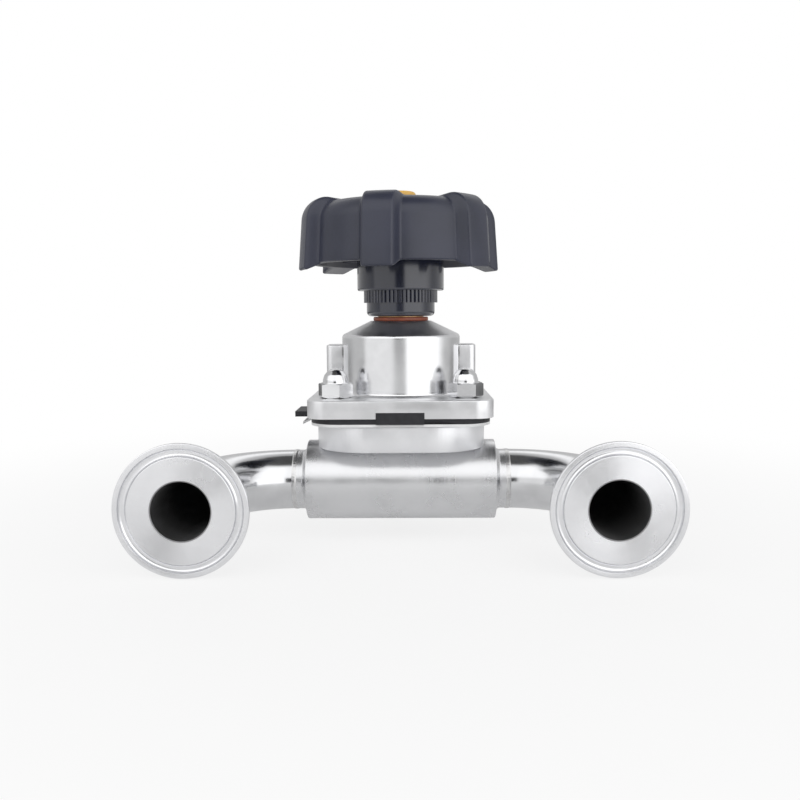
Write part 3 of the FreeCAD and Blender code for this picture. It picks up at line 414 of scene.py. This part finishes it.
ALONG_X = Matrix.Rotation(math.pi / 2, 4, "Y")
ALONG_Y = Matrix.Rotation(-math.pi / 2, 4, "X")
block_steel = metal("block_steel", light=(0.84, 0.844, 0.86), dark=(0.78, 0.784, 0.80), rough=0.40)
grained_steel = metal("grained_steel", light=(0.70, 0.703, 0.715), dark=(0.65, 0.653, 0.665),
                      rough=0.28, lines=across("X", period=0.5), line_depth=0.0025)
right_end = stub(RUN_RADIUS, RUN_SHOULDER)
left_end = [(radius, -level, *arc) for radius, level, *arc in reversed(right_end)]
run_bar = on_run(turned(left_end + right_end, closed=True), 0, RUN_Y, ALONG_X)
add_piece(run_bar, "run_bar", "housing", grained_steel)
branch_boss = on_run(turned([
    (0, BOSS_START), (BOSS_RADIUS, BOSS_START, 0.4), *stub(BOSS_RADIUS, BOSS_SHOULDER),
    (BORE, BOSS_START),
]), 0, 0, ALONG_Y)
neck = prism(box_outline(NECK_WIDTH, NECK_WIDTH, NECK_CORNER), NECK_FOOT, NECK_TOP, 0.6, arc=20)
add_piece(joined(branch_boss, neck), "valve_block", "housing", block_steel, ("valve_body",))


# Bends and branch tube: 25.4 mm sanitary tube with a 1.65 mm wall, bent round to the
# front on each side and straight at the back, butt-welded to the block and the clamp ends.
BEND = 35.5
BEND_START = RUN_SHOULDER + STUB
BEND_END = RUN_Y - BEND
PORT_X = BEND_START + BEND
BRANCH_START = BOSS_SHOULDER + STUB
JOINT = 50.1
WELD_IN = 0.7


def weld_bead(phase):
    """An orbital weld: a low bead of overlapping ripples, centred on the origin."""
    foot = 0.4
    toe = 0.02
    crown = 0.16
    ripples = 60
    ripple_height = 0.02
    ripple_bow = 2.2
    form = turned([
        (TUBE - foot, -1.3), (TUBE + toe, -1.0), (TUBE + crown, -0.4, 0.4),
        (TUBE + crown, 0.4, 0.4), (TUBE + toe, 1.0), (TUBE - foot, 1.3),
    ], steps=240, arc=4)
    for vert in form.verts:
        angle = math.atan2(vert.co.y, vert.co.x)
        distance = math.hypot(vert.co.x, vert.co.y)
        if distance > TUBE:
            bow = ripple_bow * vert.co.z * vert.co.z
            swell = ripple_height * math.sin(ripples * angle + bow + phase)
            vert.co.xy = vert.co.xy * ((distance + swell) / distance)
    return form


def tube_wall(length):
    return turned([(BORE, 0), (TUBE, 0), (TUBE, length), (BORE, length)], closed=True, steps=96)


def bend(side):
    """Two circles swept a quarter turn, then the short straight leg."""
    form = bmesh.new()
    for radius in (TUBE, BORE):
        bmesh.ops.create_circle(form, radius=radius, segments=96)
    on_run(form, side * BEND_START, RUN_Y, ALONG_X)
    bmesh.ops.spin(form, geom=form.verts[:] + form.edges[:], cent=(side * BEND_START, BEND_END, RUN),
                   axis=(0, 0, 1), angle=-side * math.pi / 2, steps=40, use_merge=False)
    leg = on_run(tube_wall(BEND_END + JOINT), side * PORT_X, -JOINT, ALONG_Y)
    return joined(form, leg)


def bore_wall(place):
    """1 on the inner wall of the bends and of all that follows them to the front, which is painted dark
    grey as shade.
    """
    outward = abs(place.axis("X")) - BEND_START
    behind = place.maths("MAXIMUM", place.axis("Y") - BEND_END, 0.0)
    off_bend = (outward * outward + behind * behind) ** 0.5 - BEND
    height = place.axis("Z") - RUN
    return ((off_bend * off_bend + height * height) ** 0.5).ramp(BORE + 0.3, BORE + 0.7, 1.0, 0.0)


# Painted shade: the bore of the bends and of the front clamp ends is painted dark grey, as shade inside
# them.
tube_steel = metal("tube_steel", light=(0.72, 0.723, 0.735), dark=(0.64, 0.643, 0.655), rough=0.17,
                   dull_and_shaded=bore_wall)
weld_steel = metal("weld_steel", light=(0.70, 0.698, 0.70), dark=(0.60, 0.597, 0.60), rough=0.30,
                   scale=220.0)
for name, side in (("left", -1), ("right", 1)):
    add_piece(bend(side), name + "_bend", "housing", tube_steel, (name + "_elbow",))
    inner = on_run(weld_bead(side), side * (BEND_START + WELD_IN), RUN_Y, ALONG_X)
    outer = on_run(weld_bead(2 * side), side * PORT_X, WELD_IN - JOINT, ALONG_Y)
    add_piece(joined(inner, outer), name + "_welds", "housing", weld_steel)
straight = on_run(tube_wall(JOINT - BRANCH_START), 0, BRANCH_START, ALONG_Y)
add_piece(straight, "rear_tube", "housing", tube_steel, ("branch_tube",))
first_weld = on_run(weld_bead(3), 0, BRANCH_START + WELD_IN, ALONG_Y)
second_weld = on_run(weld_bead(4), 0, JOINT - WELD_IN, ALONG_Y)
add_piece(joined(first_weld, second_weld), "rear_welds", "housing", weld_steel)


# Clamp ferrules: three turned steel ends with a gasket groove in the face, a thin rim
# and a tapered back where the clamp grips. The face keeps its turning marks.
FACE = 71.6
CLAMP = 25.25
RIM = 1.6
GROOVE_IN = 20.2
GROOVE_OUT = 23.3
GROOVE_DEPTH = 1.5
TAPER_FOOT = 14.5
TAPER_END = 5.5
AGAINST_Y = Matrix.Rotation(math.pi / 2, 4, "X")


def around_port(x, period):
    """Turning marks: rings about a line along Y at x, on the sealing faces only."""
    def phase(make, place):
        across_x = place.axis("X") - x
        across_z = place.axis("Z") - RUN
        on_face = place.maths("GREATER_THAN", abs(place.axis("Y")), FACE - 0.4)
        return (across_x * across_x + across_z * across_z) ** 0.5 * (FULL_TURN / period) * on_face
    return phase


def ferrule():
    """The sealing face lies at zero and the tube end points up."""
    length = FACE - JOINT
    return turned([
        (BORE, 0, 0.2), (GROOVE_IN, 0, 0.25), (GROOVE_IN, GROOVE_DEPTH, 1.4),
        (GROOVE_OUT, GROOVE_DEPTH, 1.4), (GROOVE_OUT, 0, 0.25), (CLAMP, 0, 0.3), (CLAMP, RIM, 0.3),
        (TAPER_FOOT, TAPER_END, 1.5), (TUBE, TAPER_END, 1.2), (TUBE, length), (BORE, length),
    ], closed=True, steps=180)


for name, x, y, direction in (
    ("left", -PORT_X, -FACE, ALONG_Y), ("right", PORT_X, -FACE, ALONG_Y), ("branch", 0, FACE, AGAINST_Y),
):
    # Painted shade in the bore, as for the bends.
    face_steel = metal(name + "_face_steel", light=(0.82, 0.823, 0.84), dark=(0.76, 0.763, 0.78),
                       rough=0.24, lines=around_port(x, period=0.31), line_depth=0.011, dull_and_shaded=bore_wall)
    add_piece(on_run(ferrule(), x, y, direction), name + "_clamp_end", "housing", face_steel,
              (name + "_ferrule",))


# Diaphragm: a white PTFE face on a black moulded rubber backing, clamped by the flange.
# Both dish down onto the weir while the valve is shut and lift with the stem.
def soft_skin(name, light, dark, rough, scale, depth, level):
    """A moulded soft material with a faint uneven skin."""
    material, make = surface(name)
    where = make.node("ShaderNodeTexCoord", output=3)
    cloud = make.node("ShaderNodeTexNoise", {}, {"Vector": where, "Scale": scale, "Detail": 5.0})
    bumps = make.node("ShaderNodeBump", {}, {"Height": cloud, "Strength": 1.0, "Distance": depth * MM})
    shine = make.node("ShaderNodeBsdfPrincipled", {}, {
        "Base Color": cloud.ramp(0.3, 0.7).tint(dark, light), "Normal": bumps,
        "Roughness": cloud.ramp(0.3, 0.7, rough, rough + 0.08), "Specular IOR Level": level})
    make.node("ShaderNodeOutputMaterial", {}, {"Surface": shine})
    return material


def merged_copy(node):
    """A copy of a CAD node in millimetres, its doubled vertices merged."""
    form = bmesh.new()
    form.from_mesh(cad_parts[node].data)
    bmesh.ops.remove_doubles(form, verts=form.verts, dist=1e-6)
    bmesh.ops.scale(form, vec=(1 / MM, 1 / MM, 1 / MM), verts=form.verts)
    return form


white_skin = soft_skin("white_skin", light=(0.78, 0.78, 0.785), dark=(0.71, 0.71, 0.715), rough=0.38,
                       scale=150.0, depth=0.02, level=0.5)
black_skin = soft_skin("black_skin", light=(0.022, 0.022, 0.026), dark=(0.014, 0.014, 0.017),
                       rough=0.45, scale=400.0, depth=0.03, level=0.4)
face = add_piece(merged_copy("ptfe_face"), "diaphragm_face", None, white_skin, ("ptfe_face",))
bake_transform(face)
backing = add_piece(merged_copy("rubber_backing"), "diaphragm_backing", None, black_skin,
                    ("rubber_backing",))
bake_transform(backing)


# Bonnet: the square flange, the round housing with its cone shoulder and the two posts are
# one steel casting, machined and polished. It is hollow, with a slot up each post that
# guides the compressor, and the notch in its flange shows the diaphragm's tab.
FLANGE = 38
FLANGE_CORNER = 7.5
FLANGE_LOW = 54.55
FLANGE_STEP = 57.1
FLANGE_TOP = 61.95
NOTCH = 9.8
NOTCH_FLOOR = 34.1
HOUSING = 25.8
HOUSING_FOOT = 28
HOUSING_BORE = 22.3
HOUSING_TOP = 87.2
CONE_RIM = 13.2
CONE_TOP = 93.3
BUSH = 10.1
BUSH_HOLE_LOW = 86
SUNK = 61
SLOT = 4
SLOT_REACH = 29.4
SLOT_TOP = 77.0
POST = 7
POST_START = 24
POST_REACH = 32.4
POST_TOP = 83
POST_ROUND = 2.5


def off_housing(place):
    """1 on the flange, the posts and the cone, 0 on the polished wall of the housing."""
    flat = place.node("ShaderNodeVectorMath", {"operation": "MULTIPLY"}, {0: place, 1: (1, 1, 0)})
    reach = place.node("ShaderNodeVectorMath", {"operation": "LENGTH"}, {0: flat}, "Value")
    wall = reach.ramp(HOUSING + 0.2, HOUSING + 1.0, 1.0, 0.0)
    return 1 - wall * place.axis("Z").band(FLANGE_TOP + 0.25, HOUSING_TOP, 0.4)


def housing_bore():
    """The outline of the bore: a circle with a slot on the left and on the right."""
    steps = 60
    beside_slot = math.asin(SLOT / HOUSING_BORE)
    outline = []
    for side in (1, -1):
        outline += [(side * SLOT_REACH, side * -SLOT), (side * SLOT_REACH, side * SLOT)]
        for step in range(steps + 1):
            angle = beside_slot + step / steps * (math.pi - 2 * beside_slot)
            outline.append((side * HOUSING_BORE * math.cos(angle), side * HOUSING_BORE * math.sin(angle)))
    return outline


def post(side):
    """A post of the housing: its wall around the slot, and the roof above the slot."""
    outline = [(side * POST_START, -POST), (side * POST_REACH, -POST, POST_ROUND),
               (side * POST_REACH, POST, POST_ROUND), (side * POST_START, POST)]
    slot = [(side * POST_START, SLOT), (side * SLOT_REACH, SLOT), (side * SLOT_REACH, -SLOT),
            (side * POST_START, -SLOT)]
    wall = prism(outline + slot, SUNK, SLOT_TOP, arc=8)
    return joined(wall, prism(outline, SLOT_TOP, POST_TOP, 0.5, arc=8, top_only=True))


bonnet_steel = metal("bonnet_steel", light=(0.80, 0.803, 0.815), dark=(0.72, 0.723, 0.735), rough=0.205,
                     satin=off_housing)
lower_flange = prism([
    (-FLANGE, -FLANGE, FLANGE_CORNER), (-NOTCH, -FLANGE), (-NOTCH, -NOTCH_FLOOR), (NOTCH, -NOTCH_FLOOR),
    (NOTCH, -FLANGE), (FLANGE, -FLANGE, FLANGE_CORNER), (FLANGE, FLANGE, FLANGE_CORNER),
    (-FLANGE, FLANGE, FLANGE_CORNER),
], FLANGE_LOW, FLANGE_STEP, arc=10, hole=housing_bore())
upper_flange = prism(box_outline(2 * FLANGE, 2 * FLANGE, FLANGE_CORNER), FLANGE_STEP, FLANGE_TOP, 0.5,
                     arc=10, hole=housing_bore(), top_only=True)
housing = turned([
    (HOUSING_FOOT, SUNK), (HOUSING_FOOT, FLANGE_TOP, 0.4), (HOUSING, FLANGE_TOP, 1.5),
    (HOUSING, HOUSING_TOP, 1.6), (CONE_RIM, CONE_TOP, 0.4), (BUSH, CONE_TOP),
    (BUSH, BUSH_HOLE_LOW),
], steps=192, arc=8)
for cut, normal in (((0, 0, SLOT_TOP), (0, 0, 1)), ((0, -SLOT, 0), (0, 1, 0)), ((0, SLOT, 0), (0, 1, 0))):
    bmesh.ops.bisect_plane(housing, geom=housing.verts[:] + housing.edges[:] + housing.faces[:],
                           plane_co=cut, plane_no=normal)
at_slots = [f for f in housing.faces
            if abs(f.calc_center_median().y) < SLOT and f.calc_center_median().z < SLOT_TOP]
bmesh.ops.delete(housing, geom=at_slots, context="FACES")
add_piece(joined(lower_flange, upper_flange, housing, post(-1), post(1)), "bonnet_casting", "housing",
          bonnet_steel, ("bonnet",))


# Acorn nuts: four 13 mm cap nuts of stainless steel, cold formed and polished. They are
# screwed on the studs of the block and clamp the flange down on the diaphragm.
HALF_FLATS = 6.5
HEX_HEIGHT = 6.2
DOME_TOP = 12.1
BOLT_X = 27
BOLT_Y = 23


def cap_nut(turn):
    """A hexagon cut from a bar with turned chamfers, under a round dome."""
    chamfer_start = 6.35
    chamfer_slope = 0.62
    form = bmesh.new()
    bmesh.ops.create_circle(form, radius=HALF_FLATS / math.cos(math.pi / 6), segments=6, cap_ends=True)
    raised = bmesh.ops.extrude_face_region(form, geom=form.faces[:], use_keep_orig=True)["geom"]
    bmesh.ops.translate(form, vec=(0, 0, HEX_HEIGHT), verts=only_verts(raised))
    bmesh.ops.subdivide_edges(form, edges=form.edges[:], cuts=11, use_grid_fill=True)
    for vert in form.verts:
        chamfer = max(0.0, math.hypot(vert.co.x, vert.co.y) - chamfer_start) * chamfer_slope
        vert.co.z = min(max(vert.co.z, chamfer), HEX_HEIGHT - chamfer)
    dome = turned([
        (5.6, HEX_HEIGHT - 0.5), (5.3, HEX_HEIGHT + 0.1, 0.2), (5.2, 7.4), (4.6, 9.4, 2), (2.9, 11.4, 2),
        (0, DOME_TOP),
    ], steps=64)
    return moved(joined(form, dome), Matrix.Rotation(math.radians(turn), 4, "Z"))


fastener_steel = metal("fastener_steel", light=(0.78, 0.783, 0.795), dark=(0.69, 0.693, 0.705), rough=0.15)
nuts = [moved(cap_nut(turn), Matrix.Translation((x, y, FLANGE_TOP)))
        for x, y, turn in ((-BOLT_X, -BOLT_Y, 17), (BOLT_X, -BOLT_Y, 31), (BOLT_X, BOLT_Y, 8),
                           (-BOLT_X, BOLT_Y, 44))]
add_piece(joined(*nuts), "acorn_nuts", "housing", fastener_steel, ("cap_nuts",))


# Wiper ring: an orange silicone lip, moulded and pressed round the bush where it leaves
# the cone, which keeps dirt out of the bearing below.
WIPER = 12
WIPER_TOP = 95
orange_skin = soft_skin("orange_skin", light=(0.28, 0.065, 0.028), dark=(0.20, 0.045, 0.020), rough=0.36,
                        scale=300.0, depth=0.02, level=0.5)
wiper = turned([(BUSH, CONE_TOP), (WIPER, CONE_TOP, 0.5), (WIPER, WIPER_TOP, 0.5), (BUSH, WIPER_TOP)],
               closed=True)
add_piece(wiper, "wiper_lip", "housing", orange_skin, ("wiper_ring",))


# Hub collar and serrated ring: two moulded rings of glass-filled polyamide, pressed on the
# bush below the wheel. The ring has 56 shallow teeth all round its edge.
COLLAR = 14.9
COLLAR_LOW = 95.3
RING = 16.1
RING_LOW = 101.15
RING_TOP = 106.35
RING_CORE = 15.2
SEAT = 10.05
TEETH = 56
TOOTH_GAP = 0.22
TOOTH_DEPTH = 0.6


def moulded(name, light, dark, rough, coat, depth=0.012):
    """Injection-moulded polymer with the fine spark texture of its mould."""
    material, make = surface(name)
    where = make.node("ShaderNodeTexCoord", output=3)
    flow = make.node("ShaderNodeTexNoise", {}, {"Vector": where, "Scale": 45.0, "Detail": 2.0})
    spark = make.node("ShaderNodeTexNoise", {}, {"Vector": where, "Scale": 900.0, "Detail": 2.0})
    skin = make.node("ShaderNodeBump", {}, {"Height": spark, "Strength": 1.0, "Distance": depth * MM})
    shine = make.node("ShaderNodeBsdfPrincipled", {}, {
        "Base Color": flow.ramp(0.35, 0.65).tint(dark, light), "Normal": skin,
        "Roughness": flow.ramp(0.3, 0.7, rough, rough + 0.06),
        "Coat Weight": coat, "Coat Roughness": 0.14})
    make.node("ShaderNodeOutputMaterial", {}, {"Surface": shine})
    return material


hub_polymer = moulded("hub_polymer", light=(0.010, 0.013, 0.030), dark=(0.007, 0.009, 0.022), rough=0.15,
                      coat=0.8, depth=0.005)
collar = turned([(SEAT, COLLAR_LOW), (COLLAR, COLLAR_LOW, 2), (COLLAR, RING_LOW), (SEAT, RING_LOW)],
                closed=True)
add_piece(collar, "collar", "wheel", hub_polymer, ("hub_collar",))
teeth = bmesh.new()
bmesh.ops.create_circle(teeth, radius=RING, segments=TEETH * 10)
for vert in teeth.verts:
    angle = math.atan2(vert.co.y, vert.co.x)
    within = (angle * TEETH / FULL_TURN) % 1.0
    dip = max(0.0, 1 - abs(within - 0.5) / TOOTH_GAP) ** 0.8
    vert.co.xy = vert.co.xy * ((RING - TOOTH_DEPTH * dip) / RING)
risen = bmesh.ops.extrude_edge_only(teeth, edges=teeth.edges[:])["geom"]
bmesh.ops.translate(teeth, vec=(0, 0, RING_TOP - RING_LOW), verts=only_verts(risen))
lower = [e for e in teeth.edges if e.verts[0].co.z + e.verts[1].co.z < 0.1]
inset = bmesh.ops.extrude_edge_only(teeth, edges=lower)["geom"]
for vert in only_verts(inset):
    vert.co.xy = vert.co.xy * ((RING_CORE - 0.2) / vert.co.xy.length)
bmesh.ops.translate(teeth, vec=(0, 0, RING_LOW), verts=teeth.verts)
core = turned([(SEAT, RING_LOW), (RING_CORE, RING_LOW, 0.2), (RING_CORE, RING_TOP), (SEAT, RING_TOP)],
              closed=True)
add_piece(joined(teeth, core), "toothed_ring", "wheel", hub_polymer, ("serrated_ring",),
          crease=25)


# Handwheel: one glass-filled polyamide moulding, a drum with six rounded lobes for the
# fingers, hollow below around a long hub with six ribs; the lobes run in over the top.
LOBES = 6
SECTOR = FULL_TURN / LOBES
LOBE_TURN = math.radians(18.5)
LOBE_PROUD = 5.2
LOBE_DRAFT = 0.8
LOBE_RISE = 1.4
LOBE_DROP = 2.6
LOBE_FLAT = 5.0
LOBE_FLANK = 8.6
RIDGE_START = 21
RIDGE_FULL = 30
DRUM = 39
DRUM_DRAFT = 1.4
DRUM_LOW = 117.6
DRUM_TOP = 143.5
DRUM_SHOULDER = 8
DRUM_INSIDE = 35.8
WALL_MIDDLE = 36.6
ROOF_LOW = 138.5
ROOF_INSIDE = 27.8
RECESS = 18.02
RECESS_FLOOR = 140.5
RIB = 2.5
RIB_LENGTH = 19
RIB_MIDDLE = 27.5
RIB_LOW = 120
WHEEL_HUB = 18.9


def eased(value, low, high):
    share = min(max((value - low) / (high - low), 0.0), 1.0)
    return share * share * (3 - 2 * share)


drum = turned([
    (BUSH, ROOF_LOW), (ROOF_INSIDE, ROOF_LOW, 4.5), (DRUM_INSIDE, DRUM_LOW, 0.5), (DRUM, DRUM_LOW, 0.9),
    (DRUM - DRUM_DRAFT, DRUM_TOP, DRUM_SHOULDER), (RECESS, DRUM_TOP, 0.5), (RECESS, RECESS_FLOOR),
    (BUSH, RECESS_FLOOR),
], steps=112, closed=True, arc=14, angle=SECTOR)
for vert in drum.verts:
    reach = math.hypot(vert.co.x, vert.co.y)
    height = (vert.co.z - DRUM_LOW) / (DRUM_TOP - DRUM_LOW)
    on_shoulder = max(0.0, vert.co.z - (DRUM_TOP - DRUM_SHOULDER))
    outside = reach > WALL_MIDDLE - 0.2 * on_shoulder ** 1.8 or vert.co.z > ROOF_LOW + 0.3
    if reach < RECESS + 1 or not outside:
        continue
    aside = abs(reach * math.sin(math.atan2(vert.co.y, vert.co.x) - SECTOR / 2))
    on_lobe = 1 - eased(aside, LOBE_FLAT, LOBE_FLANK)
    wider = (LOBE_PROUD - LOBE_DRAFT * height) * on_lobe * eased(reach, RIDGE_START + 1, RIDGE_FULL + 1)
    rise = LOBE_RISE * height * eased(reach, RIDGE_START, RIDGE_FULL)
    vert.co.xy = vert.co.xy * ((reach + wider) / reach)
    vert.co.z += on_lobe * (rise - LOBE_DROP * (1 - height))
rib = moved(prism(box_outline(RIB_LENGTH, RIB, 0.4, x=RIB_MIDDLE), RIB_LOW, ROOF_LOW),
            Matrix.Rotation(SECTOR / 2, 4, "Z"))
wheel = joined(drum, rib)
bmesh.ops.spin(wheel, geom=wheel.verts[:] + wheel.edges[:] + wheel.faces[:], cent=(0, 0, 0),
               axis=(0, 0, 1), angle=(LOBES - 1) * SECTOR, steps=LOBES - 1, use_duplicate=True)
bmesh.ops.remove_doubles(wheel, verts=wheel.verts, dist=10 * HAIR)
moved(wheel, Matrix.Rotation(LOBE_TURN - SECTOR / 2, 4, "Z"))
wheel_polymer = moulded("wheel_polymer", light=(0.025, 0.028, 0.050), dark=(0.018, 0.021, 0.038),
                        rough=0.38, coat=0.15)
add_piece(wheel, "wheel_moulding", "wheel", wheel_polymer, ("handwheel",), crease=50)
wheel_hub = turned([
    (BUSH, RING_TOP), (WHEEL_HUB, RING_TOP, 0.8), (WHEEL_HUB, ROOF_LOW + 0.1), (BUSH, ROOF_LOW + 0.1),
], closed=True)
add_piece(wheel_hub, "wheel_hub", "wheel", hub_polymer)


# Wheel cover: a snap-in polyamide disc that hides the lock nut, with the hole through
# which the position pin rises.
COVER = 17.9
COVER_HOLE = 7.3
COVER_LOW = RECESS_FLOOR + 0.02
cover = turned([
    (COVER_HOLE, COVER_LOW), (COVER, COVER_LOW), (COVER, DRUM_TOP, 0.6), (COVER_HOLE, DRUM_TOP, 0.5),
], closed=True)
add_piece(cover, "cover_disc", "wheel", wheel_polymer, ("wheel_cover",))


# Position pin: a moulded yellow cap, pressed on the steel rod that is fixed in the top of
# the spindle. It rises out of the cover as the valve opens.
PIN = 6.9
PIN_LOW = 139.6
PIN_TOP = 148.6
yellow_skin = soft_skin("yellow_skin", light=(0.82, 0.50, 0.12), dark=(0.72, 0.42, 0.09), rough=0.35,
                        scale=120.0, depth=0.01, level=0.5)
pin = turned([(0, PIN_LOW), (PIN, PIN_LOW, 0.3), (PIN, PIN_TOP, 1.4), (0, PIN_TOP)])
add_piece(pin, "position_cap", "stem", yellow_skin, ("indicator_cap",))


# Inner works, seen only when the valve is taken apart. The bush, washers, retainer and
# insert are turned bronze, the spindle, compressor, pin, anchor, rod, studs and lock nut
# machined steel, and the bush's seal is black rubber.
bronze = metal("bronze", light=(0.62, 0.40, 0.20), dark=(0.50, 0.31, 0.15), rough=0.30)
machined = metal("machined", light=(0.62, 0.615, 0.605), dark=(0.55, 0.545, 0.535), rough=0.32)
for finish, nodes in (
    (bronze, ("threaded_bush", "thrust_washers", "bearing_retainer", "hub_insert")),
    (machined, ("spindle", "compressor", "compressor_pin", "diaphragm_anchor", "indicator_rod", "studs",
                "lock_nut")),
    (black_skin, ("bush_seal",)),
):
    for node in nodes:
        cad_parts[node].data.materials.clear()
        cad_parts[node].data.materials.append(finish)
